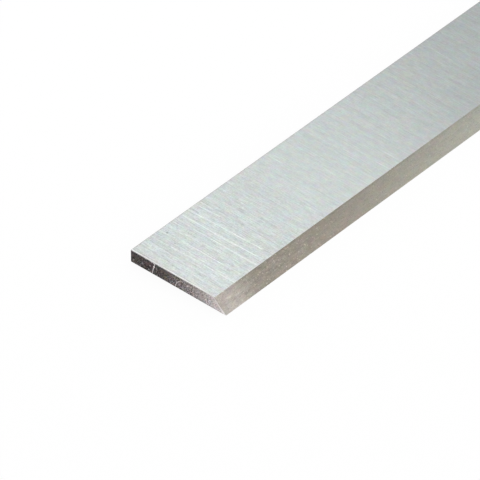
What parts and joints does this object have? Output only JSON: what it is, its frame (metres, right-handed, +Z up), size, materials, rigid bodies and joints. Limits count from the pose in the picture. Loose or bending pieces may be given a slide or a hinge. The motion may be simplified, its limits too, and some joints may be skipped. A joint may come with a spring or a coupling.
{
  "type": "planer knife",
  "caption": "Straight flat planer knife: a ground high-speed steel bar with square-cut ends and a single 45 degree bevel along its front edge.",
  "frame": {"origin": "middle of the wide underside, on the surface that the knife lies on", "axes": "+X along the knife's length, +Y towards its back edge with the cutting edge at -Y, +Z up through its thickness"},
  "size_m": [0.26, 0.025, 0.003],
  "materials": {
    "ground_steel": "bare high-speed steel, cross-ground on the wide faces, fine-ground on the bevel, dark and rough on the cut ends"
  },
  "bodies": {
    "root": {"planer_knife": "ground_steel"}
  },
  "joints": []
}
